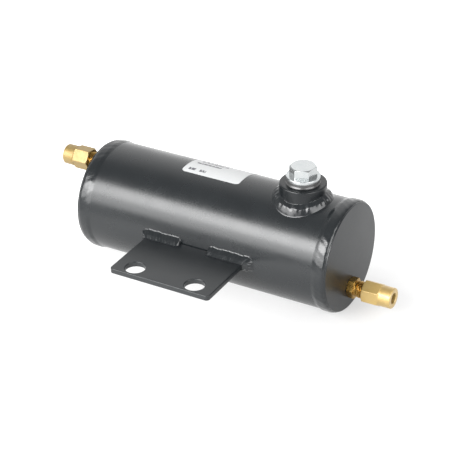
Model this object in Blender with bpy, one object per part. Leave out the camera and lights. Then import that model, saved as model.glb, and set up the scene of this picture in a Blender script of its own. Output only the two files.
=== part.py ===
"""Small welded steel reservoir for hydraulic oil.

A length of steel tube is closed by two welded end discs.  It carries a threaded filler boss with
a screw plug on top, a flat two-hole bracket on its front, and a brass compression fitting in each
end: the inlet high on the left disc and the outlet low on the right disc.

Frame: origin at the centre of the bracket's bolt pattern on its underside, +X along the tank
towards the filler and the outlet, +Y from the bolts to the tank, +Z up.  Metres.
"""
from math import cos, pi, radians, sin, sqrt, tau

import bmesh
import bpy
from mathutils import Matrix, Vector

# ---------------------------------------------------------------- driving dimensions (metres)
GAP = 0.0003                      # clearance kept between touching pieces

TUBE_RADIUS = 0.04445             # 88.9 mm steel tube
TUBE_WALL = 0.003
TANK_LENGTH = 0.225               # over the faces of the end discs
AXIS_HEIGHT = 0.0035              # tank axis above the bracket's underside
HOLE_TO_AXIS = 0.0915             # bolt line to tank axis, level

DISC_RADIUS = 0.04375
DISC_THICKNESS = 0.006
WELD_GROOVE = 0.002               # bevel on the tube's end and on the disc's inner rim
END_WELD_WIDTH = 0.0115           # bead, measured along the tank
END_WELD_SETBACK = 0.0016         # disc face to the bead's near toe
END_WELD_CROWN = 0.0009           # bead's crown above the tube

BOSS_X = 0.071                    # filler axis, from mid-tank
BOSS_RADIUS = 0.0186
BOSS_BORE_RADIUS = 0.0103
BOSS_TOP = 0.0565                 # above the tank axis
BOSS_BOTTOM = 0.036
BOSS_CHAMFER = 0.001
BOSS_WELD_HEIGHT = 0.0058
BOSS_WELD_REACH = 0.0052

PLUG_HEX = 0.019                  # across flats
PLUG_THREAD_RADIUS = 0.010
PLUG_THREAD_LENGTH = 0.014
PLUG_COLLAR_RADIUS = 0.01325
PLUG_COLLAR_THICKNESS = 0.0027
PLUG_HEAD_HEIGHT = 0.0078
PLUG_FLAT_ANGLE = radians(-70.5)  # direction that one hex flat faces, about +Z from +X
WASHER_RADIUS = 0.0136
WASHER_BORE_RADIUS = 0.0104
WASHER_THICKNESS = 0.0027

PLATE_WIDTH = 0.088
PLATE_THICKNESS = 0.0045
PLATE_MARGIN = 0.010              # bolt line to the plate's front edge
PLATE_CORNER_RADIUS = 0.003
BOLT_SPACING = 0.053
BOLT_HOLE_RADIUS = 0.008
STITCH_INNER_END = 0.0135         # mid-tank to the near end of each stitch weld
STITCH_OVERRUN = 0.006            # stitch weld past the plate's end
STITCH_UP_TUBE = 0.0054
STITCH_ON_PLATE = 0.0048

PORT_HEIGHT = 0.0268              # inlet above and outlet below the tank axis
PORT_HOLE_RADIUS = 0.0066
PIPE_RADIUS = 0.0042              # bore that takes an 8 mm pipe
BODY_HEX = 0.015                  # across flats
BODY_HEX_END = 0.0055             # all lengths along a fitting run out from the disc's face
BODY_END = 0.0195
BODY_THREAD_RADIUS = 0.00685
BODY_NECK_RADIUS = 0.0062
SPIGOT_RADIUS = 0.0063
SPIGOT_LENGTH = 0.008
NUT_HEX = 0.017                   # across flats
NUT_START = 0.0127
NUT_HEX_END = 0.027
NUT_END = 0.0372
NUT_SLEEVE_RADIUS = 0.0084
NUT_THREAD_RADIUS = 0.0072
NUT_CORNER_ANGLE = {"left": radians(5.5), "right": radians(31.5)}   # up from the front
BODY_CORNER_ANGLE = radians(5.0)

LABEL_LENGTH = 0.052
LABEL_CENTRE_X = -0.008
LABEL_START = radians(79.5)       # label's front edge, up round the tube from its front
LABEL_SPAN = radians(49.0)
LABEL_THICKNESS = 0.0002

TANK_SEGMENTS = 64
BOSS_SEGMENTS = 40
FITTING_SEGMENTS = 28

X_AXIS = Vector((1, 0, 0))
Z_AXIS = Vector((0, 0, 1))


# ---------------------------------------------------------------- scene, materials, objects
def clear_scene():
    for old in list(bpy.data.objects):
        bpy.data.objects.remove(old, do_unlink=True)


def make_material(name, color, roughness, metallic):
    material = bpy.data.materials.new(name)
    material.use_nodes = True
    shader = material.node_tree.nodes["Principled BSDF"]
    shader.inputs["Base Color"].default_value = (*color, 1.0)
    shader.inputs["Roughness"].default_value = roughness
    shader.inputs["Metallic"].default_value = metallic
    return material


def add_empty(name, location, parent=None, turn=0.0):
    """An axis system for the pieces under it, turned about +Z."""
    empty = bpy.data.objects.new(name, None)
    bpy.context.scene.collection.objects.link(empty)
    empty.location = location
    empty.rotation_euler = (0, 0, turn)
    empty.parent = parent
    return empty


def add_object(name, bm, parent=None, material=None, location=(0, 0, 0)):
    """Turn a bmesh into a linked object; one without a material is a hidden cutter."""
    mesh = bpy.data.meshes.new(name)
    bmesh.ops.recalc_face_normals(bm, faces=bm.faces)
    bm.to_mesh(mesh)
    bm.free()
    obj = bpy.data.objects.new(name, mesh)
    bpy.context.scene.collection.objects.link(obj)
    obj.location = location
    obj.parent = parent
    if material is None:
        obj.hide_render = True
        obj.display_type = "WIRE"
    else:
        mesh.materials.append(material)
        mesh.shade_smooth()
        mesh.set_sharp_from_angle(angle=radians(30))
    return obj


def add_boolean(obj, cutter, operation):
    modifier = obj.modifiers.new(operation.title(), "BOOLEAN")
    modifier.operation = operation
    modifier.object = cutter


# ---------------------------------------------------------------- shapes
def turned(outline, axis, segments):
    """Spin an outline of (distance along the axis, radius) points once round the axis.

    An outline that starts and ends on the axis is a solid; any other is closed into a ring.
    """
    bm = bmesh.new()
    across = Z_AXIS if axis is X_AXIS else X_AXIS
    points = [bm.verts.new(axis * along + across * radius) for along, radius in outline]
    links = list(zip(points, points[1:]))
    if outline[0][1] > 0:
        links.append((points[-1], points[0]))
    edges = [bm.edges.new(pair) for pair in links]
    bmesh.ops.spin(bm, geom=points + edges, cent=(0, 0, 0), axis=axis, angle=tau,
                   steps=segments, use_merge=True)
    bmesh.ops.remove_doubles(bm, verts=bm.verts, dist=1e-6)
    return bm


def drill(radius, start, end, axis, segments):
    """A plain round bar from start to end along the axis, to cut a hole with."""
    return turned([(start, 0), (start, radius), (end, radius), (end, 0)], axis, segments)


def hex_bar(across_flats, start, end, axis, corner_angle):
    """A hexagonal bar along the axis; corner_angle is where one corner points.

    About +X the angle runs up from -Y, and about +Z it runs round from +X.
    """
    bm = bmesh.new()
    radius = across_flats / sqrt(3)
    corners = []
    for k in range(6):
        angle = corner_angle + k * pi / 3
        if axis is X_AXIS:
            spot = Vector((start, -radius * cos(angle), radius * sin(angle)))
        else:
            spot = Vector((radius * cos(angle), radius * sin(angle), start))
        corners.append(bm.verts.new(spot))
    face = bm.faces.new(corners)
    extrude_face(bm, face, axis * (end - start))
    return bm


def extrude_face(bm, face, offset):
    """Give a flat face depth, and keep the face as the solid's first end."""
    grown = bmesh.ops.extrude_face_region(bm, geom=[face], use_keep_orig=True)
    moved = [item for item in grown["geom"] if isinstance(item, bmesh.types.BMVert)]
    bmesh.ops.translate(bm, verts=moved, vec=offset)


def extruded_outline(points, offset):
    """A prism on a flat outline of 3-D points."""
    bm = bmesh.new()
    face = bm.faces.new([bm.verts.new(point) for point in points])
    extrude_face(bm, face, offset)
    return bm


def arc(centre, radius, start, end, steps):
    """Points on an arc in a plane, both ends included."""
    angles = [start + (end - start) * k / steps for k in range(steps + 1)]
    return [(centre[0] + radius * cos(a), centre[1] + radius * sin(a)) for a in angles]


# ---------------------------------------------------------------- tank
def tube_end():
    """Distance from mid-tank to the end of the tube, where the disc begins."""
    return TANK_LENGTH / 2 - DISC_THICKNESS - GAP


def build_tube(axes, filler, paint):
    end = tube_end()
    inner = TUBE_RADIUS - TUBE_WALL
    outline = [
        (-end, inner), (-end, TUBE_RADIUS - WELD_GROOVE), (-end + WELD_GROOVE, TUBE_RADIUS),
        (end - WELD_GROOVE, TUBE_RADIUS), (end, TUBE_RADIUS - WELD_GROOVE), (end, inner),
    ]
    tube = add_object("tank_tube", turned(outline, X_AXIS, TANK_SEGMENTS), axes, paint)
    hole = drill(BOSS_RADIUS + GAP, TUBE_RADIUS * 0.5, TUBE_RADIUS * 1.5, Z_AXIS, BOSS_SEGMENTS)
    add_boolean(tube, add_object("cut_boss_hole", hole, filler), "DIFFERENCE")


def build_end_disc(side, port, paint):
    """A bevelled disc with the port's hole; it is built round the tank axis, seen from its port."""
    lift = -port.location.z
    rim = 0.0004
    outline = [
        (-DISC_THICKNESS, 0), (-DISC_THICKNESS, DISC_RADIUS - WELD_GROOVE),
        (-DISC_THICKNESS + WELD_GROOVE, DISC_RADIUS), (-rim, DISC_RADIUS),
        (0, DISC_RADIUS - rim), (0, 0),
    ]
    disc = add_object(side + "_end_disc", turned(outline, X_AXIS, TANK_SEGMENTS), port, paint,
                      (0, 0, lift))
    hole = drill(PORT_HOLE_RADIUS, -2 * DISC_THICKNESS, DISC_THICKNESS, X_AXIS, FITTING_SEGMENTS)
    add_boolean(disc, add_object("cut_%s_port" % side, hole, port), "DIFFERENCE")


def build_end_weld(side, port, paint):
    """The bead that fills the groove between tube and disc and stands proud of both."""
    near = -END_WELD_SETBACK
    far = near - END_WELD_WIDTH
    root = -DISC_THICKNESS - GAP / 2
    tube_skin = TUBE_RADIUS + GAP
    disc_skin = DISC_RADIUS + GAP
    slope_gap = GAP * sqrt(2)
    crown = TUBE_RADIUS + END_WELD_CROWN
    outline = [
        (root, TUBE_RADIUS - WELD_GROOVE + slope_gap),
        (root - WELD_GROOVE + GAP / 2, tube_skin), (far, tube_skin),
        (far + END_WELD_WIDTH * 0.25, crown - 0.0003), (far + END_WELD_WIDTH * 0.5, crown),
        (far + END_WELD_WIDTH * 0.75, crown - 0.0004), (near, disc_skin),
        (root + WELD_GROOVE - GAP / 2, disc_skin),
    ]
    add_object(side + "_end_weld", turned(outline, X_AXIS, TANK_SEGMENTS), port, paint,
               (0, 0, -port.location.z))


# ---------------------------------------------------------------- filler
def build_boss(filler, paint):
    outline = [
        (BOSS_BOTTOM, BOSS_BORE_RADIUS), (BOSS_BOTTOM, BOSS_RADIUS),
        (BOSS_TOP - BOSS_CHAMFER, BOSS_RADIUS), (BOSS_TOP, BOSS_RADIUS - BOSS_CHAMFER),
        (BOSS_TOP, BOSS_BORE_RADIUS + BOSS_CHAMFER), (BOSS_TOP - BOSS_CHAMFER, BOSS_BORE_RADIUS),
    ]
    add_object("filler_boss", turned(outline, Z_AXIS, BOSS_SEGMENTS), filler, paint)


def build_boss_weld(filler, paint):
    """A fillet all round the boss, riding up and down the tube's curved top."""
    bm = bmesh.new()
    inner = BOSS_RADIUS + GAP
    section = [
        (inner, BOSS_WELD_HEIGHT), (inner, GAP), (inner + BOSS_WELD_REACH, GAP),
        (inner + BOSS_WELD_REACH * 0.6, BOSS_WELD_HEIGHT * 0.55),
    ]
    rings = []
    for k in range(BOSS_SEGMENTS):
        angle = tau * k / BOSS_SEGMENTS
        ring = []
        for radius, height in section:
            x, y = radius * cos(angle), radius * sin(angle)
            ring.append(bm.verts.new((x, y, sqrt(TUBE_RADIUS ** 2 - y ** 2) + height)))
        rings.append(ring)
    for ring, following in zip(rings, rings[1:] + rings[:1]):
        for k, corner in enumerate(ring):
            beside = (k + 1) % len(ring)
            bm.faces.new((corner, ring[beside], following[beside], following[k]))
    add_object("filler_boss_weld", bm, filler, paint)


def build_washer(filler, rubber):
    low = BOSS_TOP + GAP
    high = low + WASHER_THICKNESS
    outline = [(low, WASHER_BORE_RADIUS), (low, WASHER_RADIUS),
               (high, WASHER_RADIUS), (high, WASHER_BORE_RADIUS)]
    add_object("plug_seal_washer", turned(outline, Z_AXIS, BOSS_SEGMENTS), filler, rubber)


def build_plug(filler, zinc):
    """Collar and threaded shank, joined with a chamfered hexagonal head."""
    seat = BOSS_TOP + 2 * GAP + WASHER_THICKNESS
    collar_top = seat + PLUG_COLLAR_THICKNESS
    tip = seat - PLUG_THREAD_LENGTH
    head_top = collar_top + PLUG_HEAD_HEIGHT
    chamfer = 0.001
    shank = [
        (tip, 0), (tip, PLUG_THREAD_RADIUS - chamfer), (tip + chamfer, PLUG_THREAD_RADIUS),
        (seat, PLUG_THREAD_RADIUS), (seat, PLUG_COLLAR_RADIUS),
        (collar_top - 0.0004, PLUG_COLLAR_RADIUS), (collar_top, PLUG_COLLAR_RADIUS - 0.0004),
        (collar_top, 0),
    ]
    plug = add_object("filler_plug", turned(shank, Z_AXIS, BOSS_SEGMENTS), filler, zinc)
    corner = PLUG_HEX / sqrt(3)
    head_base = collar_top - PLUG_COLLAR_THICKNESS / 2
    head = [
        (head_base, 0), (head_base, corner + chamfer), (head_top - chamfer, corner + chamfer / 3),
        (head_top, PLUG_HEX / 2), (head_top, 0),
    ]
    head = add_object("plug_head", turned(head, Z_AXIS, BOSS_SEGMENTS), filler)
    flats = hex_bar(PLUG_HEX, BOSS_BOTTOM, head_top * 1.5, Z_AXIS, PLUG_FLAT_ANGLE + pi / 6)
    add_boolean(head, add_object("cut_plug_flats", flats, filler), "INTERSECT")
    add_boolean(plug, head, "UNION")


# ---------------------------------------------------------------- bracket
def build_bracket(paint):
    """A flat plate with its back edge against the tube, round front corners and two holes."""
    half = PLATE_WIDTH / 2
    front = -PLATE_MARGIN
    back = HOLE_TO_AXIS - TUBE_RADIUS - GAP
    r = PLATE_CORNER_RADIUS
    outline = [(half, back), (-half, back)]
    outline += arc((-half + r, front + r), r, pi, 1.5 * pi, 5)
    outline += arc((half - r, front + r), r, 1.5 * pi, tau, 5)
    plate = extruded_outline([(x, y, 0) for x, y in outline], (0, 0, PLATE_THICKNESS))
    plate = add_object("bracket_plate", plate, None, paint)
    for side, x in (("left", -BOLT_SPACING / 2), ("right", BOLT_SPACING / 2)):
        hole = drill(BOLT_HOLE_RADIUS, -PLATE_THICKNESS, 2 * PLATE_THICKNESS, Z_AXIS, 32)
        cutter = add_object("cut_bolt_hole_" + side, hole, None, None, (x, 0, 0))
        add_boolean(plate, cutter, "DIFFERENCE")


def stitch_section(face_height, direction):
    """(y, z) points of a stitch weld in the corner between the tube and one face of the plate."""
    base = face_height + direction * GAP
    rise = direction * STITCH_UP_TUBE
    skin = TUBE_RADIUS + GAP
    top = base + rise

    def on_tube(z):
        return -sqrt(skin ** 2 - z ** 2)

    foot = -skin - STITCH_ON_PLATE
    return [
        (on_tube(0), base), (foot, base), (foot + 0.0017, base + rise * 0.42),
        (on_tube(top) - 0.0011, base + rise * 0.84), (on_tube(top), top),
        (on_tube(base + rise * 0.5), base + rise * 0.5),
    ]


def build_stitches(axes, paint):
    """Four stitch welds: above and below the plate, at each of its ends."""
    start = STITCH_INNER_END
    end = PLATE_WIDTH / 2 + STITCH_OVERRUN
    faces = (("top", PLATE_THICKNESS - AXIS_HEIGHT, 1), ("bottom", -AXIS_HEIGHT, -1))
    for level, face_height, direction in faces:
        section = stitch_section(face_height, direction)
        for side, near, far in (("left", -end, -start), ("right", start, end)):
            points = [(near, y, z) for y, z in section]
            weld = extruded_outline(points, (far - near, 0, 0))
            add_object("bracket_weld_%s_%s" % (level, side), weld, axes, paint)


# ---------------------------------------------------------------- pipe fittings
def build_fitting_body(side, port, brass):
    """Stud with a threaded spigot in the disc, a hexagon, a neck and the nut's thread."""
    start = GAP
    chamfer = 0.0005
    corner = BODY_HEX / sqrt(3)
    shoulder = BODY_HEX_END + 0.0025
    passage = 0.0033
    pipe_stop = 0.0125
    cone_start = 0.0155
    cone_mouth = 0.0056
    outline = [
        (-SPIGOT_LENGTH, passage), (-SPIGOT_LENGTH, SPIGOT_RADIUS - chamfer),
        (-SPIGOT_LENGTH + chamfer, SPIGOT_RADIUS), (start, SPIGOT_RADIUS),
        (start, corner - chamfer), (start + chamfer, corner),
        (BODY_HEX_END - chamfer, corner), (BODY_HEX_END, corner - chamfer * 1.5),
        (BODY_HEX_END, BODY_NECK_RADIUS), (shoulder, BODY_NECK_RADIUS),
        (shoulder + chamfer, BODY_THREAD_RADIUS), (BODY_END - chamfer, BODY_THREAD_RADIUS),
        (BODY_END, BODY_THREAD_RADIUS - chamfer), (BODY_END, cone_mouth),
        (cone_start, cone_mouth - (BODY_END - cone_start) * 0.2126),
        (cone_start, PIPE_RADIUS), (pipe_stop, PIPE_RADIUS), (pipe_stop, passage),
    ]
    body = add_object(side + "_fitting_body", turned(outline, X_AXIS, FITTING_SEGMENTS), port, brass)
    flats = hex_bar(BODY_HEX, -2 * SPIGOT_LENGTH, 2 * BODY_END, X_AXIS, BODY_CORNER_ANGLE)
    add_boolean(body, add_object("cut_%s_body_flats" % side, flats, port), "INTERSECT")


def build_ferrule(side, port, brass):
    """The ring that the nut squeezes on to the pipe, tapered at both ends."""
    tip = BODY_END - 0.0028
    rear = 0.0242
    widest = 0.0062
    outline = [
        (tip, PIPE_RADIUS), (tip, PIPE_RADIUS + 0.0005), (BODY_END + GAP, 0.0052),
        (BODY_END + 0.001, widest), (rear - 0.0017, widest), (rear, widest - 0.0017),
        (rear, PIPE_RADIUS),
    ]
    add_object(side + "_ferrule", turned(outline, X_AXIS, FITTING_SEGMENTS), port, brass)


def build_nut(side, port, brass):
    """Hexagon over the thread, then a round sleeve that guides the pipe."""
    chamfer = 0.0009
    corner = NUT_HEX / sqrt(3)
    seat = 0.0228
    bevel = 0.0005
    outline = [
        (NUT_START, NUT_THREAD_RADIUS + bevel), (NUT_START, corner - chamfer * 1.5),
        (NUT_START + chamfer, corner), (NUT_HEX_END - chamfer, corner),
        (NUT_HEX_END, NUT_SLEEVE_RADIUS), (NUT_END - bevel, NUT_SLEEVE_RADIUS - bevel / 2),
        (NUT_END, NUT_SLEEVE_RADIUS - bevel * 1.5), (NUT_END, PIPE_RADIUS + bevel),
        (NUT_END - bevel, PIPE_RADIUS), (seat + NUT_THREAD_RADIUS - PIPE_RADIUS, PIPE_RADIUS),
        (seat, NUT_THREAD_RADIUS), (NUT_START + bevel, NUT_THREAD_RADIUS),
    ]
    nut = add_object(side + "_compression_nut", turned(outline, X_AXIS, FITTING_SEGMENTS), port,
                     brass)
    flats = hex_bar(NUT_HEX, 0, 2 * NUT_END, X_AXIS, NUT_CORNER_ANGLE[side])
    add_boolean(nut, add_object("cut_%s_nut_flats" % side, flats, port), "INTERSECT")


# ---------------------------------------------------------------- label
def build_label(axes, paper):
    """A thin sheet laid round the top of the tube."""
    low = TUBE_RADIUS + GAP
    high = low + LABEL_THICKNESS
    start, end = pi - LABEL_START, pi - LABEL_START - LABEL_SPAN
    steps = 12
    outline = arc((0, 0), low, start, end, steps) + arc((0, 0), high, end, start, steps)
    near = LABEL_CENTRE_X - LABEL_LENGTH / 2
    sheet = extruded_outline([(near, y, z) for y, z in outline], (LABEL_LENGTH, 0, 0))
    add_object("data_label", sheet, axes, paper)


# ---------------------------------------------------------------- assembly
def main():
    clear_scene()
    paint = make_material("anthracite_paint", (0.045, 0.048, 0.053), 0.35, 0.0)
    zinc = make_material("bright_zinc", (0.75, 0.76, 0.75), 0.25, 1.0)
    brass = make_material("brass", (0.72, 0.50, 0.18), 0.25, 1.0)
    rubber = make_material("seal_rubber", (0.02, 0.02, 0.022), 0.6, 0.0)
    paper = make_material("label_paper", (0.80, 0.81, 0.81), 0.55, 0.0)

    axes = add_empty("tank_axis", (0, HOLE_TO_AXIS, AXIS_HEIGHT))
    filler = add_empty("filler_axis", (BOSS_X, 0, 0), axes)
    half = TANK_LENGTH / 2
    ports = {
        "left": add_empty("left_port", (-half, 0, PORT_HEIGHT), axes, pi),
        "right": add_empty("right_port", (half, 0, -PORT_HEIGHT), axes),
    }

    build_tube(axes, filler, paint)
    build_boss(filler, paint)
    build_boss_weld(filler, paint)
    build_washer(filler, rubber)
    build_plug(filler, zinc)
    build_bracket(paint)
    build_stitches(axes, paint)
    for side, port in ports.items():
        build_end_disc(side, port, paint)
        build_end_weld(side, port, paint)
        build_fitting_body(side, port, brass)
        build_ferrule(side, port, brass)
        build_nut(side, port, brass)
    build_label(axes, paper)


main()
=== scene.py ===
"""Looks of the welded steel oil reservoir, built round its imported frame.  Metres, +Z up."""
from math import cos, hypot, pi, radians, sin, sqrt, tau

import bmesh
import bpy
import numpy as np
from mathutils import Matrix, Vector


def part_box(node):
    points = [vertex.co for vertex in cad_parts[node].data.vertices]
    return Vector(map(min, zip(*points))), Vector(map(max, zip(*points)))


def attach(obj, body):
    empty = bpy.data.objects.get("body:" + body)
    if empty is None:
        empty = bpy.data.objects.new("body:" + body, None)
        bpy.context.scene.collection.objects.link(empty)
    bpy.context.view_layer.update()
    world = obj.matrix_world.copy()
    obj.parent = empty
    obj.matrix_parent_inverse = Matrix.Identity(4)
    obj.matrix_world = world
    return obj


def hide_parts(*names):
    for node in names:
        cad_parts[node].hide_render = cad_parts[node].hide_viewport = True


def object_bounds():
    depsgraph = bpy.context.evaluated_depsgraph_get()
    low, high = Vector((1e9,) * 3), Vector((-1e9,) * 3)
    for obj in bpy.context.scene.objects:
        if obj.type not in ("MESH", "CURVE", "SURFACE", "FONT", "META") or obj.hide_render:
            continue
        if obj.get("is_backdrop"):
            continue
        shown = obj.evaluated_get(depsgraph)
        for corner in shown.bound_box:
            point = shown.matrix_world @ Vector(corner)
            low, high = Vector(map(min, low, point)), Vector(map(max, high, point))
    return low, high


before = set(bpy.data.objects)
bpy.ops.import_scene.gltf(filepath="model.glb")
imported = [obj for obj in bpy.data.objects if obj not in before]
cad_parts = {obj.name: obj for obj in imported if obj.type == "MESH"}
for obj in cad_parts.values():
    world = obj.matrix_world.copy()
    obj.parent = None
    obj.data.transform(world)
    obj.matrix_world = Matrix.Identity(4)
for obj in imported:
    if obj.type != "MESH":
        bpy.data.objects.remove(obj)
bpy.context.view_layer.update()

MM = 0.001
X, Y, Z = Vector((1, 0, 0)), Vector((0, 1, 0)), Vector((0, 0, 1))
FRONT = -Y
SIDES = {"left": -1, "right": 1}
ON_AXIS = 1e-6
THREAD_PITCH = 1.5 * MM
EDGE_BLEND = 0.04 * MM  # softness of the edges between a hexagon's flats and its chamfer


# ---------------------------------------------------------------- places and sizes read from the frame
def span(node, axis):
    """Lowest and highest coordinate of a CAD node along an axis, 0 to 2."""
    low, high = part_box(node)
    return low[axis], high[axis]


def half_width(node, axis):
    low, high = span(node, axis)
    return (high - low) / 2


def middle(node):
    low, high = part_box(node)
    return (Vector(low) + Vector(high)) / 2


def face_x(side):
    """Where the outer face of an end disc lies."""
    low, high = span(side + "_end_disc", 0)
    return low if side == "left" else high


TUBE_LOW, TUBE_HIGH = (Vector(v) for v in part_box("tank_tube"))
CENTRE = (TUBE_LOW + TUBE_HIGH) / 2
TUBE_RADIUS = (TUBE_HIGH.z - TUBE_LOW.z) / 2
TUBE_HALF = (TUBE_HIGH.x - TUBE_LOW.x) / 2
TUBE_WALL = 3 * MM
FILLER_X = middle("filler_boss").x
FILLER_AXIS = Vector((FILLER_X, CENTRE.y, 0))
BOSS_RADIUS = half_width("filler_boss", 0)
BOSS_TOP = span("filler_boss", 2)[1]


# ---------------------------------------------------------------- node materials
def new_material(name):
    material = bpy.data.materials.new(name)
    material.use_nodes = True
    nodes = material.node_tree.nodes
    return material, nodes, material.node_tree.links, nodes["Principled BSDF"]


def math_node(nodes, links, operation, a, b):
    """Result of a Math node; a and b are sockets or numbers."""
    node = nodes.new("ShaderNodeMath")
    node.operation = operation
    for socket, value in zip(node.inputs, (a, b)):
        if isinstance(value, (int, float)):
            socket.default_value = value
        else:
            links.new(value, socket)
    return node.outputs[0]


def place_coordinates(nodes, links, stretch=(1, 1, 1)):
    """Object coordinates, stretched along the axes."""
    place = nodes.new("ShaderNodeTexCoord")
    mapping = nodes.new("ShaderNodeMapping")
    mapping.inputs["Scale"].default_value = stretch
    links.new(place.outputs["Object"], mapping.inputs["Vector"])
    return mapping.outputs["Vector"]


def noise(nodes, links, vector, scale, detail):
    node = nodes.new("ShaderNodeTexNoise")
    node.inputs["Scale"].default_value = scale
    node.inputs["Detail"].default_value = detail
    node.inputs["Roughness"].default_value = 0.55
    links.new(vector, node.inputs["Vector"])
    return node.outputs["Fac"]


def ramp(nodes, links, value, stops):
    """A colour ramp; stops are (position, colour or grey)."""
    node = nodes.new("ShaderNodeValToRGB")
    elements = node.color_ramp.elements
    while len(elements) < len(stops):
        elements.new(0.5)
    for element, (position, color) in zip(elements, stops):
        element.position = position
        element.color = (*color, 1.0) if isinstance(color, tuple) else (color, color, color, 1.0)
    links.new(value, node.inputs["Fac"])
    return node.outputs["Color"]


def bump(nodes, links, height, distance, under=None):
    """Normals of a relief of this depth, laid over the normals of another one."""
    node = nodes.new("ShaderNodeBump")
    node.inputs["Strength"].default_value = 1.0
    node.inputs["Distance"].default_value = distance
    links.new(height, node.inputs["Height"])
    if under is not None:
        links.new(under, node.inputs["Normal"])
    return node.outputs["Normal"]


def paint_material(name, base=(0.0064, 0.0079, 0.0090), roughness=(0.24, 0.30),
                   grain=0.005 * MM, ior=1.5):
    """Satin anthracite powder coat: faint orange peel, fine grain and slightly patchy gloss."""
    material, nodes, links, shader = new_material(name)
    place = place_coordinates(nodes, links)
    drawn = place_coordinates(nodes, links, (2.4, 1.0, 1.0))
    patches = noise(nodes, links, place, scale=38, detail=4)
    low, high = roughness
    links.new(ramp(nodes, links, patches, [(0.3, low), (0.7, high)]), shader.inputs["Roughness"])
    lighter = tuple(c * 1.25 for c in base)
    links.new(ramp(nodes, links, patches, [(0.25, base), (0.8, lighter)]), shader.inputs["Base Color"])
    peel = bump(nodes, links, noise(nodes, links, place, scale=520, detail=2), 0.013 * MM)
    fine = bump(nodes, links, noise(nodes, links, drawn, scale=1500, detail=3), grain, peel)
    links.new(fine, shader.inputs["Normal"])
    shader.inputs["IOR"].default_value = ior
    return material


def brass_material(name, low, high, roughness, coat=0.0, relief=1.0):
    """Turned brass: fine tool rings round the X axis and slight tarnish between two tints."""
    material, nodes, links, shader = new_material(name)
    place = place_coordinates(nodes, links)
    rings = place_coordinates(nodes, links, (1.0, 0.02, 0.02))
    tarnish = noise(nodes, links, place, scale=160, detail=4)
    links.new(ramp(nodes, links, tarnish, [(0.3, low), (0.75, high)]), shader.inputs["Base Color"])
    polish = noise(nodes, links, place, scale=420, detail=3)
    links.new(ramp(nodes, links, polish, [(0.3, roughness - 0.04), (0.7, roughness + 0.04)]),
              shader.inputs["Roughness"])
    turned = noise(nodes, links, rings, scale=5200, detail=2)
    pitted = noise(nodes, links, place, scale=900, detail=2)
    turned = bump(nodes, links, turned, 0.006 * MM * relief)
    links.new(bump(nodes, links, pitted, 0.004 * MM * relief, turned), shader.inputs["Normal"])
    shader.inputs["Metallic"].default_value = 1.0
    shader.inputs["Coat Weight"].default_value = coat
    shader.inputs["Coat Roughness"].default_value = 0.3
    return material


def zinc_material(name):
    """Bright zinc plate over a forged plug: pale, slightly cloudy, fine scratches."""
    material, nodes, links, shader = new_material(name)
    place = place_coordinates(nodes, links)
    across = place_coordinates(nodes, links, (0.25, 1.0, 2.0))
    cloud = noise(nodes, links, place, scale=210, detail=5)
    links.new(ramp(nodes, links, cloud, [(0.25, (0.42, 0.44, 0.445)), (0.75, (0.465, 0.48, 0.48))]),
              shader.inputs["Base Color"])
    polish = noise(nodes, links, place, scale=500, detail=4)
    links.new(ramp(nodes, links, polish, [(0.3, 0.16), (0.7, 0.24)]), shader.inputs["Roughness"])
    dents = bump(nodes, links, noise(nodes, links, place, scale=380, detail=2), 0.001 * MM)
    scratches = noise(nodes, links, across, scale=1600, detail=2)
    links.new(bump(nodes, links, scratches, 0.0008 * MM, dents), shader.inputs["Normal"])
    shader.inputs["Metallic"].default_value = 0.88
    return material


def rubber_material(name):
    """Black nitrile seal with a faint bloom."""
    material, nodes, links, shader = new_material(name)
    place = place_coordinates(nodes, links)
    bloom = noise(nodes, links, place, scale=300, detail=4)
    links.new(ramp(nodes, links, bloom, [(0.3, 0.035), (0.8, 0.06)]), shader.inputs["Base Color"])
    links.new(ramp(nodes, links, bloom, [(0.3, 0.2), (0.8, 0.3)]), shader.inputs["Roughness"])
    grain = noise(nodes, links, place, scale=1600, detail=2)
    links.new(bump(nodes, links, grain, 0.01 * MM), shader.inputs["Normal"])
    return material


PRINT_BARS = [(0.08, 0.20, 0.10, 0.18), (0.27, 0.38, 0.10, 0.18), (0.10, 0.52, 0.42, 0.49),
              (0.13, 0.60, 0.56, 0.63), (0.10, 0.56, 0.70, 0.77), (0.10, 0.60, 0.84, 0.90)]


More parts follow.
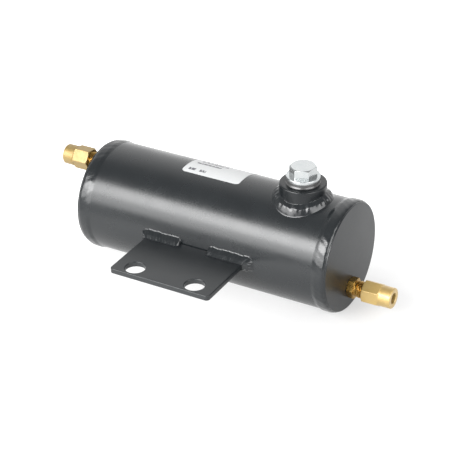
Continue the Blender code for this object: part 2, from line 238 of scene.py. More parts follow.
def label_material(name):
    """Coated white paper with blurred grey print: broken bars in place of lettering."""
    material, nodes, links, shader = new_material(name)
    place = place_coordinates(nodes, links)
    fibre = noise(nodes, links, place, scale=700, detail=4)
    paper = ramp(nodes, links, fibre, [(0.3, (0.42, 0.43, 0.435)), (0.7, (0.455, 0.46, 0.46))])
    uv = nodes.new("ShaderNodeTexCoord").outputs["UV"]
    parts = nodes.new("ShaderNodeSeparateXYZ")
    links.new(uv, parts.inputs["Vector"])
    broken = nodes.new("ShaderNodeMapping")
    broken.inputs["Scale"].default_value = (60, 9, 1)
    links.new(uv, broken.inputs["Vector"])
    marks = noise(nodes, links, broken.outputs["Vector"], scale=1.0, detail=2)

    def between(value, low, high):
        """1 where the value lies between low and high."""
        above = math_node(nodes, links, "GREATER_THAN", value, low)
        below = math_node(nodes, links, "LESS_THAN", value, high)
        return math_node(nodes, links, "MULTIPLY", above, below)

    bars = 0.0
    for u0, u1, v0, v1 in PRINT_BARS:
        along, across = between(parts.outputs["X"], u0, u1), between(parts.outputs["Y"], v0, v1)
        bars = math_node(nodes, links, "MAXIMUM", bars,
                         math_node(nodes, links, "MULTIPLY", along, across))
    ink = math_node(nodes, links, "MULTIPLY", bars, between(marks, 0.42, 1.0))
    mix = nodes.new("ShaderNodeMix")
    mix.data_type = "RGBA"
    links.new(ink, mix.inputs["Factor"])
    links.new(paper, mix.inputs["A"])
    mix.inputs["B"].default_value = (0.06, 0.06, 0.07, 1)
    links.new(mix.outputs["Result"], shader.inputs["Base Color"])
    shader.inputs["Roughness"].default_value = 0.42
    links.new(bump(nodes, links, fibre, 0.01 * MM), shader.inputs["Normal"])
    return material


def floor_material(name):
    """White lightbox top; its glow is dimmed by a painted shadow under the tank and by painted shade far out
    to the front left and to the right.
    """
    material, nodes, links, shader = new_material(name)
    place = place_coordinates(nodes, links)
    fibre = noise(nodes, links, place, scale=60, detail=4)
    links.new(ramp(nodes, links, fibre, [(0.3, 0.24), (0.7, 0.26)]), shader.inputs["Base Color"])
    shader.inputs["Roughness"].default_value = 0.9
    shader.inputs["Specular IOR Level"].default_value = 0.1
    shader.inputs["Emission Color"].default_value = (1, 1, 1, 1)

    def vector_math(operation, vector, other, output="Vector"):
        node = nodes.new("ShaderNodeVectorMath")
        node.operation = operation
        links.new(vector, node.inputs[0])
        node.inputs[1].default_value = other
        return node.outputs[output]

    oval = (4 / 1.9, 4, 0)  # 1 at a quarter of a metre across the tank, 1.9 times as far along it
    front_left = (-1.736, -0.992, 0)  # 1 at half a metre
    from_tank = vector_math("SUBTRACT", place, CENTRE)
    away = vector_math("LENGTH", vector_math("MULTIPLY", from_tank, oval), (0, 0, 0), "Value")
    leftward = vector_math("DOT_PRODUCT", from_tank, front_left, "Value")
    rightward = vector_math("DOT_PRODUCT", from_tank, (1, 0, 0), "Value")
    strength = 1.5
    # The glow fades in a painted shadow round the tank and in painted shade far to the front left and to the
    # right.
    for distance, stops in ((away, [(0.24, 0.52), (0.44, 0.82), (0.66, 1.0)]),
                            (leftward, [(0.37, 1.0), (0.72, 0.30)]),
                            (rightward, [(0.04, 1.0), (0.12, 0.68)])):
        factor = ramp(nodes, links, distance, stops)
        strength = math_node(nodes, links, "MULTIPLY", factor, strength)
    links.new(strength, shader.inputs["Emission Strength"])
    return material


# ---------------------------------------------------------------- meshes
def grid_faces(rows, columns, loop_rows, loop_columns):
    """Quads of a grid of points, which may close on itself either way."""
    faces = []
    for i in range(rows if loop_rows else rows - 1):
        for j in range(columns if loop_columns else columns - 1):
            after, beside = (i + 1) % rows, (j + 1) % columns
            faces.append((i * columns + j, i * columns + beside,
                          after * columns + beside, after * columns + j))
    return faces


def clean_mesh(name, points, faces, merge=1e-7):
    """A mesh with its coinciding points merged and its faces turned outward."""
    mesh = bpy.data.meshes.new(name)
    mesh.from_pydata([tuple(p) for p in points], [], faces)
    bm = bmesh.new()
    bm.from_mesh(mesh)
    bmesh.ops.remove_doubles(bm, verts=bm.verts, dist=merge)
    bmesh.ops.recalc_face_normals(bm, faces=bm.faces)
    bm.to_mesh(mesh)
    bm.free()
    return mesh


def add_object(name, data):
    """An object for a mesh, a light or a camera, in the scene."""
    item = bpy.data.objects.new(name, data)
    bpy.context.scene.collection.objects.link(item)
    return item


def add_piece(mesh, material, body, nodes, crease):
    """A smooth-shaded piece that rides on a body and stands for CAD nodes; crease is in degrees."""
    mesh.shade_smooth()
    mesh.set_sharp_from_angle(angle=radians(crease))
    mesh.materials.append(material)
    piece = add_object(mesh.name, mesh)
    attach(piece, body)
    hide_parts(*nodes)
    return piece


LONGEST_CUT = 0.48  # share of a side that the rounding of one of its corners may take


def rounded(corners, steps=4, closed=True, longest=None):
    """Outline of (along, radius, kind) with each (along, radius, fillet, kind) corner rounded.

    Stretches that have a kind are cut into pieces no longer than the longest length.
    """
    count = len(corners)
    outline = []
    for k, (along, radius, fillet, kind) in enumerate(corners):
        here = np.array((along, radius))
        if fillet <= 0 or (not closed and k in (0, count - 1)):
            outline.append((*here, kind))
            continue
        before = np.array(corners[k - 1][:2]) - here
        after = np.array(corners[(k + 1) % count][:2]) - here
        reach_before, reach_after = np.linalg.norm(before), np.linalg.norm(after)
        cosine = np.clip(np.dot(before, after) / (reach_before * reach_after), -1, 1)
        cut = fillet / max(np.tan(np.arccos(cosine) / 2), 1e-3)
        cut = min(cut, reach_before * LONGEST_CUT, reach_after * LONGEST_CUT)
        start = here + before / reach_before * cut
        end = here + after / reach_after * cut
        for t in np.linspace(0, 1, steps + 1):
            outline.append((*((1 - t) ** 2 * start + 2 * t * (1 - t) * here + t * t * end), kind))
    if longest is None:
        return outline
    dense = []
    pairs = list(zip(outline, outline[1:] + outline[:1]))
    for (s0, r0, kind0), (s1, r1, kind1) in pairs if closed else pairs[:-1]:
        pieces = max(1, int(np.ceil(hypot(s1 - s0, r1 - r0) / longest))) if kind0 and kind1 else 1
        for step in range(pieces):
            t = step / pieces
            dense.append((s0 + (s1 - s0) * t, r0 + (r1 - r0) * t, kind0 if kind0 == kind1 else ""))
    if not closed:
        dense.append(outline[-1])
    return dense


def hex_angles(corner_angle):
    """Angles round a hexagonal bar, closer together near its corners."""
    offsets = (0, 0.7, 1.5, 2.5, 4, 6.5, 10, 15, 22)
    sector = [-o for o in reversed(offsets[1:])] + list(offsets) + [30]
    return np.array([corner_angle + radians(60 * k + o) for k in range(6) for o in sector])


def hex_radius(theta, across_flats, corner_angle):
    """Distance from the axis to a hexagonal bar with slightly rounded corners."""
    sharpness = 110
    flats = [np.cos(theta - corner_angle - pi / 6 - k * pi / 3) for k in range(3)]
    total = sum(np.abs(flat) ** sharpness for flat in flats)
    return across_flats / 2 / total ** (1 / sharpness)


def lower_of(a, b, blend):
    """Smooth minimum of two radii."""
    return -blend * np.logaddexp(-a / blend, -b / blend)


def thread_depth(turns):
    """Rounded V-thread, 0 at its flat crest and 1 at its flat root."""
    phase = turns - np.floor(turns)
    wave = np.abs(phase * 2 - 1)
    return np.clip((1 - wave) * 1.35 - 0.12, 0, 1)


def turned_points(origin, axis, outline, theta, hexagon=None, thread=0.0):
    """Points of an outline turned about an axis.

    theta runs right-handed about the axis from the front direction.  Outline stretches of kind
    "hex" are cut to a hexagonal bar (across flats, corner angle), and those of kind "thread"
    carry a right-hand thread that goes this deep.
    """
    side = axis.cross(FRONT)
    along, radius = (np.array([point[k] for point in outline]) for k in (0, 1))
    kinds = np.array([point[2] for point in outline])
    radii = np.repeat(radius[:, None], len(theta), 1)
    if hexagon is not None:
        rows = kinds == "hex"
        limit = hex_radius(theta, *hexagon)[None, :]
        radii[rows] = lower_of(radii[rows], np.repeat(limit, rows.sum(), 0), EDGE_BLEND)
    if thread:
        rows = kinds == "thread"
        turns = along[rows][:, None] / THREAD_PITCH - theta[None, :] / tau
        radii[rows] -= thread * thread_depth(turns)
    ray = np.cos(theta)[:, None] * np.array(FRONT) + np.sin(theta)[:, None] * np.array(side)
    return np.array(origin) + along[:, None, None] * np.array(axis) + radii[:, :, None] * ray[None]


def add_turned(name, origin, axis, outline, theta, material, body, slot, nodes, crease, closed=True,
               **cuts):
    points = turned_points(origin, axis, outline, theta, **cuts)
    mesh = clean_mesh(name, points.reshape(-1, 3), grid_faces(len(outline), len(theta), closed, True))
    return add_piece(mesh, material, body, nodes, crease)


def circle(count):
    return np.linspace(0, tau, count, endpoint=False)


def in_mm(corners):
    """Corners written in millimetres, as metres."""
    return [(along * MM, radius * MM, fillet * MM, kind) for along, radius, fillet, kind in corners]


def wobble(x, *waves):
    """A smooth irregular function: a sum of (size, frequency, phase) sines."""
    return sum(size * sin(frequency * x + phase) for size, frequency, phase in waves)


# ---------------------------------------------------------------- tank
def build_shell(paint):
    """The tube, cut through where the filler boss passes."""
    outline = [(s, TUBE_RADIUS, "") for s in np.linspace(-TUBE_HALF, TUBE_HALF, 90)]
    outline += [(s, TUBE_RADIUS - TUBE_WALL, "") for s in np.linspace(TUBE_HALF, -TUBE_HALF, 24)]
    shell = add_turned("tank_shell", CENTRE, X, outline, circle(180), paint, "tank",
                       "anthracite_paint", ["tank_tube"], 40)
    under_skin, past_skin, radius, sides = 20 * MM, 60 * MM, BOSS_RADIUS - 0.4 * MM, 72
    drill = [(under_skin, ON_AXIS, ""), (under_skin, radius, ""), (past_skin, radius, ""),
             (past_skin, ON_AXIS, "")]
    points = turned_points(Vector((FILLER_X, CENTRE.y, CENTRE.z)), Z, drill, circle(sides))
    cutter = add_object("hole", clean_mesh("hole", points.reshape(-1, 3),
                                           grid_faces(len(drill), sides, False, True), merge=1e-5))
    cut = shell.modifiers.new("filler hole", "BOOLEAN")
    cut.operation = "DIFFERENCE"
    cut.object = cutter
    bpy.context.view_layer.objects.active = shell
    bpy.ops.object.modifier_apply(modifier=cut.name)
    bpy.data.objects.remove(cutter, do_unlink=True)
    shell.data.set_sharp_from_angle(angle=radians(40))


def build_disc(side, paint):
    radius = half_width(side + "_end_disc", 2)
    depth = 6 * MM
    corners = [(-depth, ON_AXIS, 0, ""), (-depth, radius, 0.5 * MM, ""), (0, radius, 0.45 * MM, ""),
               (0, ON_AXIS, 0, "")]
    add_turned(side + "_disc", Vector((face_x(side), CENTRE.y, CENTRE.z)), X * SIDES[side],
               rounded(corners, 5, closed=False), circle(180), paint, "tank", "anthracite_paint",
               [side + "_end_disc"], 50, closed=False)


def build_end_bead(side, paint):
    """Raised bead round the joint of tube and disc, flat across its crown, with faint ripples."""
    out = SIDES[side]
    low, high = span(side + "_end_weld", 0)
    overhang, sunk = 0.7 * MM, 0.05 * MM
    ripple_pitch, ripple_height, ripple_bow, lump_height = 2.1 * MM, 0.03 * MM, 2.6 * MM, 0.05 * MM
    near = (high if side == "right" else low) + out * overhang
    width = high - low + overhang
    crown = half_width(side + "_end_weld", 2) - TUBE_RADIUS
    disc_radius = half_width(side + "_end_disc", 2)
    root = disc_radius - 1.5 * MM
    theta = circle(720)
    across = np.linspace(0, 1, 41)
    seed = 0.7 if side == "left" else 2.9
    points = np.zeros((len(theta), len(across) + 2, 3))

    def place(i, j, depth, radius):
        """Puts a point this deep behind the bead's outer edge and this far from the tank's axis."""
        angle = theta[i]
        points[i, j] = (near - out * depth, CENTRE.y - radius * cos(angle), CENTRE.z + radius * sin(angle))

    for i, angle in enumerate(theta):
        toe = 0.20 * MM * wobble(angle, (1, 9, seed), (0.7, 23, 1.3 * seed), (0.3, 47, seed))
        edge = 0.12 * MM * wobble(angle, (1, 14, seed + 1), (0.6, 41, seed))
        start, end = width + toe, -edge
        height = crown * (1 + 0.08 * wobble(angle, (1, 5, seed), (0.8, 12, 2 * seed)))
        for j, t in enumerate(across):
            skin = TUBE_RADIUS + (disc_radius - TUBE_RADIUS) * t ** 12
            foot = min(1.0, t / 0.4)
            crest = foot * foot * (3 - 2 * foot) * (1 - max(0.0, 2 * t - 1) ** 4)
            bow = ripple_bow * (1 - (2 * t - 1) ** 2)
            travel = angle * TUBE_RADIUS + bow + 0.5 * MM * wobble(angle, (1, 31, seed), (1, 17, 0))
            ripple = ripple_height * ((travel / ripple_pitch % 1.0) ** 0.7 - 0.5)
            lump = lump_height * wobble(angle * 26 + t * 5, (1, 1.0, seed), (0.6, 1.9, 1.0))
            place(i, j + 1, start + (end - start) * t, skin + (height + ripple + lump) * crest - sunk)
        place(i, 0, start, root)
        place(i, len(across) + 1, end, root)
    mesh = clean_mesh(side + "_end_bead", points.reshape(-1, 3),
                      grid_faces(len(theta), len(across) + 2, True, True))
    add_piece(mesh, paint, "tank", [side + "_end_weld"], 60)


# ---------------------------------------------------------------- filler
def build_neck(paint):
    bottom = span("filler_boss", 2)[0]
    bore = 10.3 * MM
    mouth = 1.1 * MM
    corners = [
        (bottom, bore, 0.3 * MM, ""), (bottom, BOSS_RADIUS, 0.5 * MM, ""),
        (BOSS_TOP, BOSS_RADIUS, 1.5 * MM, ""), (BOSS_TOP, bore + mouth, 0.2 * MM, ""),
        (BOSS_TOP - mouth, bore, 0.1 * MM, "thread"), (bottom + 0.8 * MM, bore, 0, "thread"),
    ]
    add_turned("filler_neck", FILLER_AXIS, Z, rounded(corners, 6, longest=0.14 * MM), circle(120), paint,
               "tank", "anthracite_paint", ["filler_boss"], 50, thread=-0.8 * MM)


def fillet(leg, climb, shoulder, toes):
    """Section of a fillet weld as evenly spaced (out, up) points; toes are the radii of its hollow edges."""
    upper, lower = toes
    corners = [(0.0, climb + 2.6 * MM, 0, ""), (0.0, climb, upper, ""), (*shoulder, 1.5 * MM, ""),
               (leg, 0.0, lower, ""), (leg + 1.2 * MM, 0.0, 0, "")]
    out, up = np.array([point[:2] for point in rounded(corners, 8, closed=False)]).T
    travel = np.concatenate([[0.0], np.cumsum(np.hypot(np.diff(out), np.diff(up)))])
    even = np.linspace(0, travel[-1], 41)
    return list(zip(np.interp(even, travel, out), np.interp(even, travel, up)))


def build_filler_bead(paint):
    """Fillet weld round the boss on the curved top of the tube."""
    reach = half_width("filler_boss_weld", 0) - BOSS_RADIUS
    rise, shoulder_out, shoulder_drop = 5.6 * MM, 3.1 * MM, 2.4 * MM
    in_boss, root, sunk, skirt, lump = 0.06 * MM, 0.8 * MM, 0.04 * MM, 1.2 * MM, 0.09 * MM

    def section_at(angle):
        """The fillet's shoulder wanders in and out, up and down."""
        out = shoulder_out * (1 + 0.09 * wobble(angle, (1, 6, 0.3), (0.8, 15, 1.2), (0.6, 28, 0.5)))
        drop = shoulder_drop * (1 + 0.09 * wobble(angle, (1, 5, 1.7), (0.8, 13, 0.2), (0.6, 31, 2.5)))
        return fillet(reach, rise, (out, rise - drop), (0.3 * MM, 0.8 * MM))

    def on_tube(radius, angle):
        """Place on top of the tube's skin, this far from the boss's axis."""
        x, y = radius * cos(angle), -radius * sin(angle)
        return x, y, sqrt(TUBE_RADIUS ** 2 - y * y)

    rows = []
    for angle in circle(540):
        wide = 1 + 0.02 * wobble(angle, (1, 3, 0.4), (0.7, 7, 2.0))
        tall = 1 + 0.02 * wobble(angle, (1, 5, 1.0), (0.7, 9, 0.3))
        lumps = wobble(angle, (1, 10, 0.9), (1, 23, 1.1))
        section = section_at(angle)
        top, rim = section[0][1], section[-1][0]
        x, y, skin = on_tube(BOSS_RADIUS - root, angle)
        row = [(x, y, skin + top)]
        level = on_tube(BOSS_RADIUS, angle)[2]
        for j, (out, up) in enumerate(section):
            swell = lump * sin(pi * j / (len(section) - 1)) ** 2 * lumps
            x, y, skin = on_tube(BOSS_RADIUS - in_boss + out * wide + swell, angle)
            foot = level + (skin - level) * min(1.0, out / reach) ** 3 - sunk
            row.append((x, y, foot + up * tall + swell * 0.7))
        x, y, skin = on_tube(BOSS_RADIUS + rim * wide, angle)
        row.append((x, y, skin - skirt))
        rows.append(row)
    points = np.array(rows) + np.array((FILLER_X, CENTRE.y, CENTRE.z))
    inner = points[:, :1].copy()
    inner[:, :, 2] -= top + skirt
    points = np.concatenate([points, inner], 1)
    mesh = clean_mesh("filler_bead", points.reshape(-1, 3), grid_faces(*points.shape[:2], True, True))
    add_piece(mesh, paint, "tank", ["filler_boss_weld"], 70)


def build_seal(rubber):
    """Flat ring, thicker than the washer's gap, with a lip on its lower edge."""
    low, high = span("plug_seal_washer", 2)
    low, high = low - 0.3 * MM, high + 0.3 * MM
    bore, radius = 10.45 * MM, half_width("plug_seal_washer", 0)
    lip, face = radius + 0.2 * MM, radius - 0.5 * MM
    corners = [(low, bore, 0.2 * MM, ""), (low, lip, 0.1 * MM, ""), (low + 0.3 * MM, lip, 0.15 * MM, ""),
               (low + 1.4 * MM, face, 0.2 * MM, ""), (high, face, 0.2 * MM, ""),
               (high, bore, 0.2 * MM, "")]
    add_turned("seal_ring", FILLER_AXIS, Z, rounded(corners, 5), circle(120), rubber, "plug_seal",
               "seal_rubber", ["plug_seal_washer"], 60)


def build_plug(zinc):
    """Hexagon head chamfered on top, round collar and a threaded shank."""
    tip, top = span("filler_plug", 2)
    seat = span("plug_seal_washer", 2)[1] + 0.3 * MM
    collar = half_width("filler_plug", 0)
    collar_top = seat + 2.7 * MM
    across_flats = 19 * MM
    corner = across_flats / sqrt(3) + 0.05 * MM
    shank, tip_chamfer = 10.0 * MM, 1.2 * MM
    relief = shank - 0.7 * MM
    corners = [
        (tip, ON_AXIS, 0, ""), (tip, shank - tip_chamfer, 0.2 * MM, ""),
        (tip + tip_chamfer, shank, 0.1 * MM, "thread"), (seat - 1.5 * MM, shank, 0.1 * MM, "thread"),
        (seat - 1.2 * MM, relief, 0.2 * MM, ""), (seat, relief, 0.2 * MM, ""),
        (seat, collar, 0.35 * MM, ""), (collar_top, collar, 0.5 * MM, ""),
        (collar_top, corner + 0.45 * MM, 0.15 * MM, ""), (collar_top, corner, 0.25 * MM, "hex"),
        (collar_top + 0.1 * MM, corner, 0.1 * MM, "hex"), (top - 0.95 * MM, corner, 0.15 * MM, "hex"),
        (top, across_flats / 2 - 0.05 * MM, 0.2 * MM, "hex"),
        (top, across_flats / 2 - 1.2 * MM, 0, ""), (top, ON_AXIS, 0, ""),
    ]
    corner_angle = radians(49.5)
    add_turned("screw_plug", FILLER_AXIS, Z, rounded(corners, 5, closed=False, longest=0.12 * MM),
               hex_angles(corner_angle), zinc, "plug", "bright_zinc", ["filler_plug"], 50, closed=False,
               hexagon=(across_flats, corner_angle), thread=0.8 * MM)


# ---------------------------------------------------------------- bracket
def build_plate(paint):
    """Flat plate with rounded edges and two bolt holes; its holes' line is y = 0.

    Between the welds a narrow open groove is left along the top of its joint with the tube.
    """
    low, high = (Vector(v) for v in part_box("bracket_plate"))
    corner, edge, hole, hole_x = 3 * MM, 0.75 * MM, 8 * MM, 26.5 * MM
    inside_tube = high.y + 0.3 * MM
    groove = CENTRE.y - sqrt(TUBE_RADIUS ** 2 - (high.z - CENTRE.z) ** 2) - 0.5 * MM
    turn = [(edge + 0.15 * MM, 0.0)]
    turn += [(edge * (1 - sin(a)), edge * (1 - cos(a))) for a in np.linspace(0, pi / 2, 7)]
    levels = [(inset, low.z + rise, inside_tube) for inset, rise in turn]
    levels += [(inset, high.z - rise, groove - inset) for inset, rise in reversed(turn)]
    bm = bmesh.new()
    below = ()
    for inset, z, back in levels:
        radius = corner - inset
        outer = [(high.x - inset, back), (low.x + inset, back)]
        for x, start in ((low.x + corner, pi), (high.x - corner, 1.5 * pi)):
            outer += [(x + radius * cos(a), low.y + corner + radius * sin(a))
                      for a in np.linspace(start, start + pi / 2, 9)]
        holes = [[(x + (hole + inset) * cos(a), (hole + inset) * sin(a)) for a in circle(72)]
                 for x in (-hole_x, hole_x)]
        loops = [[bm.verts.new((x, y, z)) for x, y in loop] for loop in (outer, *holes)]
        for here, under in zip(loops, below):
            for k in range(len(here)):
                bm.faces.new((under[k - 1], under[k], here[k], here[k - 1]))
        if (inset, z, back) in (levels[0], levels[-1]):
            sides = [(loop[k - 1], loop[k]) for loop in loops for k in range(len(loop))]
            rims = [bm.edges.get(side) or bm.edges.new(side) for side in sides]
            bmesh.ops.triangle_fill(bm, use_beauty=True, edges=rims)
        below = loops
    bmesh.ops.recalc_face_normals(bm, faces=bm.faces)
    mesh = bpy.data.meshes.new("mounting_plate")
    bm.to_mesh(mesh)
    bm.free()
    add_piece(mesh, paint, "tank", ["bracket_plate"], 40)


def build_plate_bead(side, paint):
    """One stitch weld: along the plate's top, round its end and back along its underside."""
    out = SIDES[side]
    plate_low, plate_high = (Vector(v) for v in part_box("bracket_plate"))
    top, bottom, end = plate_high.z, plate_low.z, plate_high.x
    longer, end_climb, seed = (3 * MM, 7.0 * MM, 1.9) if side == "right" else (0, 6.2 * MM, 0.3)
    inner = min(abs(v) for v in span("bracket_weld_top_" + side, 0)) - longer
    straight = np.linspace(inner, end, 140)
    turn = np.linspace(0, pi / 2, 20)[1:]
    stops = [(x, top, 0.0) for x in straight]
    stops += [(end, top, lean) for lean in turn]
    stops += [(end, z, pi / 2) for z in np.linspace(top, bottom, 14)[1:]]
    stops += [(end, bottom, pi / 2 + lean) for lean in turn]
    stops += [(x, bottom, pi) for x in straight[-2::-1]]
    turn_radius, run_out, ripple_pitch = 3.0 * MM, 3.2 * MM, 1.7
    travels = [0.0]
    for (x0, z0, lean0), (x1, z1, lean1) in zip(stops, stops[1:]):
        travels.append(travels[-1] + hypot(x1 - x0, z1 - z0) + abs(lean1 - lean0) * turn_radius)
    side_leg, end_leg, side_climb = 6.3 * MM, 5.2 * MM, 4.4 * MM
    tube_front, sunk, root_depth, root_drop = CENTRE.y - TUBE_RADIUS, 0.06 * MM, 0.8 * MM, 0.6 * MM
    rows = []
    for (x, z, lean), travel in zip(stops, travels):
        along = travel / MM
        lumps = wobble(along, (1, 0.31, seed), (0.7, 0.67, 2 * seed), (0.35, 1.3, seed))
        to_end = min(travel, travels[-1] - travel) / run_out
        taper = sqrt(max(1e-4, 1 - max(0.0, 1 - to_end) ** 2))
        wrap = sin(lean) ** 2
        climb = (side_climb + (end_climb - side_climb) * wrap) * (1 + 0.045 * lumps) * taper
        leg = (side_leg + (end_leg - side_leg) * wrap) * (1 + 0.012 * lumps) * taper
        section = fillet(leg, climb, (leg * 0.59, climb * 0.52), (1.9 * MM * taper, 0.8 * MM * taper))
        row = []
        for k, (forward, up) in enumerate(section):
            t = k / (len(section) - 1)
            scale = 0.012 * sin(tau * (along + 1.1 * sin(pi * t)) / ripple_pitch)
            rough = wobble(along + 4 * t, (1, 0.9, seed), (0.8, 2.3, 0), (0.5, 4.1, 2 * seed))
            swell = (scale + (0.10 + 0.05 * wrap) * rough) * MM * sin(pi * t) * taper
            px, pz = x + (up + swell) * sin(lean), z + (up + swell) * cos(lean)
            skin = CENTRE.y - sqrt(TUBE_RADIUS ** 2 - (pz - CENTRE.z) ** 2) + sunk
            row.append((out * px, skin - forward - swell, pz))
        root_x, root_z = out * (x - root_drop * sin(lean)), z - root_drop * cos(lean)
        upper_x, upper_y, upper_z = row[0]
        row += [(root_x, tube_front - leg, root_z), (root_x, tube_front + root_depth, root_z),
                (upper_x, upper_y + root_depth, upper_z)]
        rows.append(row)
    columns = len(row)
    faces = grid_faces(len(rows), columns, False, True)
    faces += [tuple(first + k for k in range(columns)) for first in (0, (len(rows) - 1) * columns)]
    mesh = clean_mesh("plate_bead_" + side, np.array(rows).reshape(-1, 3), faces)
    add_piece(mesh, paint, "tank",
              ["bracket_weld_top_" + side, "bracket_weld_bottom_" + side], 60)


# ---------------------------------------------------------------- pipe fittings
def port(side):
    """Origin on the disc's outer face, outward axis, for one end's fitting."""
    centre = middle(side + "_compression_nut")
    return Vector((face_x(side), CENTRE.y, centre.z)), X * SIDES[side]


def build_stud(side, brass):
    """Body screwed into the disc: hexagon, neck and the thread for the nut, with a conical seat."""
    across_flats = 15 * MM
    corner = across_flats / sqrt(3) / MM
    crest, neck, bore, socket, plug = 6.85, 6.0, 3.3, 4.2, 6.4
    corners = [
        (-8.0, bore, 0, ""), (-8.0, plug - 0.4, 0.2, ""), (-7.6, plug, 0.1, ""), (0.1, plug, 0.1, ""),
        (0.1, corner - 0.7, 0.2, "hex"), (0.6, corner + 0.05, 0.15, "hex"),
        (5.0, corner + 0.05, 0.15, "hex"), (5.5, corner - 0.8, 0.25, "hex"),
        (5.5, neck, 0.25, ""), (7.3, neck, 0.2, ""), (8.0, crest, 0.1, "thread"),
        (18.9, crest, 0.1, "thread"), (19.5, crest - 0.7, 0.2, ""), (19.5, 5.6, 0.1, ""),
        (15.5, 4.75, 0.1, ""), (15.5, socket, 0, ""), (12.5, socket, 0, ""), (12.5, bore, 0, ""),
    ]
    corner_angle = radians(5) * -SIDES[side]
    add_turned(side + "_stud", *port(side), rounded(in_mm(corners), longest=0.13 * MM),
               hex_angles(corner_angle), brass, "tank", "brass", [side + "_fitting_body"], 50,
               hexagon=(across_flats, corner_angle), thread=0.75 * MM)


def build_olive(side, brass):
    tip, rear, bore, widest = 16.7, 24.2, 4.22, 6.2
    corners = [(tip, bore, 0.05, ""), (tip, bore + 0.5, 0.1, ""), (19.8, 5.2, 0.2, ""),
               (20.5, widest, 0.3, ""), (rear - 1.7, widest, 0.3, ""), (rear, widest - 1.7, 0.2, ""),
               (rear, bore, 0.1, "")]
    add_turned(side + "_olive", *port(side), rounded(in_mm(corners)), circle(96), brass,
               side + "_ring", "brass", [side + "_ferrule"], 50)


def build_union_nut(side, brass):
    """Hexagon with chamfered ends, then a smooth round sleeve."""
    across_flats = 17 * MM
    corner = across_flats / sqrt(3) / MM + 0.05
    root = 7.2
    corners = [
        (12.7, 7.9, 0.15, ""), (12.7, 8.35, 0.2, "hex"), (13.7, corner, 0.2, "hex"),
        (26.0, corner, 0.2, "hex"), (27.0, 8.75, 0.2, "hex"), (27.3, 8.42, 0.3, ""),
        (36.6, 8.35, 0.2, ""), (37.2, 7.8, 0.2, ""), (37.2, 4.8, 0.2, ""), (36.7, 4.3, 0.2, ""),
        (25.8, 4.25, 0.1, ""), (22.8, root, 0.1, "thread"), (13.4, root, 0.1, "thread"),
    ]
    corner_angle = -radians(31.5 if side == "right" else 5.5) * SIDES[side]
    add_turned(side + "_union_nut", *port(side), rounded(in_mm(corners), longest=0.13 * MM),
               hex_angles(corner_angle), brass, side + "_nut", "brass", [side + "_compression_nut"], 50,
               hexagon=(across_flats, corner_angle), thread=-0.5 * MM)


# ---------------------------------------------------------------- label
def build_label(paper):
    """A thin sheet with rounded corners, wrapped over the top of the tube."""
    low_x, high_x = span("data_label", 0)
    width = high_x - low_x
    start, arc = radians(79.5), radians(49)
    corner, face, back = 3 * MM, TUBE_RADIUS + 0.13 * MM, TUBE_RADIUS - 0.05 * MM
    columns, rows = 60, 60
    verts, uvs = [], []
    for radius in (face, back):
        for v in np.linspace(0, 1, rows):
            to_corner = max(0.0, corner - min(v, 1 - v) * arc * TUBE_RADIUS)
            inset = corner - sqrt(corner ** 2 - to_corner ** 2)
            angle = start + arc * v
            for u in np.linspace(0, 1, columns):
                x = low_x + inset + (width - 2 * inset) * u
                verts.append((x, CENTRE.y - radius * cos(angle), CENTRE.z + radius * sin(angle)))
                uvs.append(((x - low_x) / width, v))
    block = rows * columns
    faces = grid_faces(rows, columns, False, False)
    faces += [tuple(block + k for k in reversed(face)) for face in faces]
    rim = list(range(columns)) + [r * columns + columns - 1 for r in range(1, rows)]
    rim += [(rows - 1) * columns + c for c in range(columns - 2, -1, -1)]
    rim += [r * columns for r in range(rows - 2, 0, -1)]
    faces += [(a, b, block + b, block + a) for a, b in zip(rim, rim[1:] + rim[:1])]
    mesh = clean_mesh("label_sheet", verts, faces)
    layer = mesh.uv_layers.new(name="print")
    for loop in mesh.loops:
        layer.data[loop.index].uv = uvs[loop.vertex_index]
    add_piece(mesh, paper, "tank", ["data_label"], 40)


# ---------------------------------------------------------------- studio
def direction_to(azimuth, elevation):
    """Unit vector; azimuth runs from the front to +X, in radians."""
    return Vector((sin(azimuth) * cos(elevation), -cos(azimuth) * cos(elevation), sin(elevation)))


def build_camera():
    azimuth, elevation, roll = radians(30.5), radians(30.52), radians(-1.46)
    distance = 1.3365
    target = CENTRE + Vector((4.15, -0.35, -4.09)) * MM
    data = bpy.data.cameras.new("camera")
    data.lens = 131.0
    data.sensor_width = 36
    data.clip_end = 20
    camera = add_object("camera", data)
    back = direction_to(azimuth, elevation)
    right = Vector((cos(azimuth), sin(azimuth), 0))
    turn = Matrix((right, back.cross(right), back)).transposed().to_4x4() @ Matrix.Rotation(roll, 4, "Z")
    camera.matrix_world = Matrix.Translation(target + back * distance) @ turn
    bpy.context.scene.camera = camera


SOFTBOXES = [  # name, azimuth, elevation, width and height in degrees, radiance
    ("front softbox", -24, 24, 64, 37, 5.9),
    ("front softbox top", -16, 33.5, 46, 20, 8.6),
    ("front softbox core", -13, 33, 20, 23, 2.5),
    ("right softbox", 73, 25, 44, 30, 6.0),
]


def area_light(name, azimuth, elevation, width, height, radiance):
    """A softbox that faces the tank; its width and height are the angles it fills as seen from there."""
    distance = 1.1
    data = bpy.data.lights.new(name, "AREA")
    data.shape = "RECTANGLE"
    data.size = 2 * distance * np.tan(radians(width / 2))
    data.size_y = 2 * distance * np.tan(radians(height / 2))
    data.energy = radiance * pi * data.size * data.size_y
    light = add_object(name, data)
    direction = direction_to(radians(azimuth), radians(elevation))
    light.matrix_world = (Matrix.Translation(CENTRE + direction * distance)
                          @ direction.to_track_quat("Z", "Y").to_matrix().to_4x4())


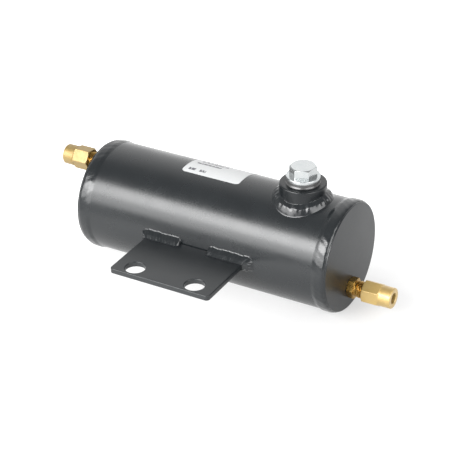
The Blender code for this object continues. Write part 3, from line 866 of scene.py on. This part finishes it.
def build_world():
    """A bright wall behind the tank, and dimmer walls and ceiling elsewhere."""
    world = bpy.data.worlds.new("studio")
    world.use_nodes = True
    nodes, links = world.node_tree.nodes, world.node_tree.links
    background = nodes["Background"]
    place = nodes.new("ShaderNodeTexCoord")
    toward = nodes.new("ShaderNodeVectorMath")
    toward.operation = "DOT_PRODUCT"
    toward.inputs[1].default_value = Vector((-0.40, 0.85, 0.35)).normalized()
    links.new(place.outputs["Generated"], toward.inputs[0])
    shade = ramp(nodes, links, toward.outputs["Value"],
                 [(0.0, 0.28), (0.40, 0.28), (0.60, 0.38), (0.79, 0.75), (0.95, 1.0)])
    links.new(shade, background.inputs["Color"])
    background.inputs["Strength"].default_value = 1.6
    bpy.context.scene.world = world


def build_floor(material):
    """A wide board whose far edges curve up out of sight."""
    floor_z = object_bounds()[0][2]
    size, steps, flat, curl = 6.0, 24, 2.2, 0.35
    places = np.linspace(-size / 2, size / 2, steps + 1)
    points = [(x, y, floor_z + curl * max(0.0, hypot(x, y) - flat) ** 2) for x in places for y in places]
    mesh = bpy.data.meshes.new("studio_floor")
    mesh.from_pydata(points, [], grid_faces(steps + 1, steps + 1, False, False))
    mesh.shade_smooth()
    mesh.materials.append(material)
    add_object("studio_floor", mesh)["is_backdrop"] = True


def main():
    paint = paint_material("anthracite_paint_look")
    bead_paint = paint_material("weld_paint_look", roughness=(0.18, 0.26), grain=0.0015 * MM)
    plate_paint = paint_material("plate_paint_look", roughness=(0.30, 0.36))
    disc_paint = paint_material("disc_paint_look", roughness=(0.30, 0.36), ior=1.42)
    # The boss takes a darker copy of the tank's paint: painted shade on its wall.
    paint_shaded_for_neck = paint_material("boss_painted_shade_look", base=(0.0052, 0.0064, 0.0074), ior=1.40)
    brass = brass_material("brass_look", (0.49, 0.345, 0.115), (0.55, 0.41, 0.17), 0.64, coat=1.0)
    # A darker copy of the brass, used on the left union nut: painted shade.
    brass_shaded_for_left_nut = brass_material("brass_shaded_for_left_nut_look", (0.31, 0.215, 0.075), (0.36, 0.265, 0.11), 0.62,
                               coat=0.5)
    # Glossier brass for the studs; its darker, browner tint is painted shade from the dark discs they
    # reflect.
    brass_shaded_for_studs = brass_material("brass_shaded_for_studs_look", (0.33, 0.19, 0.045), (0.45, 0.29, 0.085), 0.28,
                                relief=0.3)
    zinc = zinc_material("zinc_look")
    rubber = rubber_material("rubber_look")
    build_camera()
    build_world()
    for softbox in SOFTBOXES:
        area_light(*softbox)
    build_shell(paint)
    build_neck(paint_shaded_for_neck)
    build_filler_bead(bead_paint)
    build_seal(rubber)
    build_plug(zinc)
    build_plate(plate_paint)
    for side in SIDES:
        build_disc(side, disc_paint)
        build_end_bead(side, bead_paint)
        build_plate_bead(side, bead_paint)
        build_stud(side, brass_shaded_for_studs)
        build_olive(side, brass)
        # The left union nut takes the darker brass copy, which is painted shade.
        build_union_nut(side, brass if side == "right" else brass_shaded_for_left_nut)
    build_label(label_material("label_look"))
    build_floor(floor_material("floor_painted_shadow_look"))


main()
bpy.context.scene.view_settings.view_transform = "Standard"
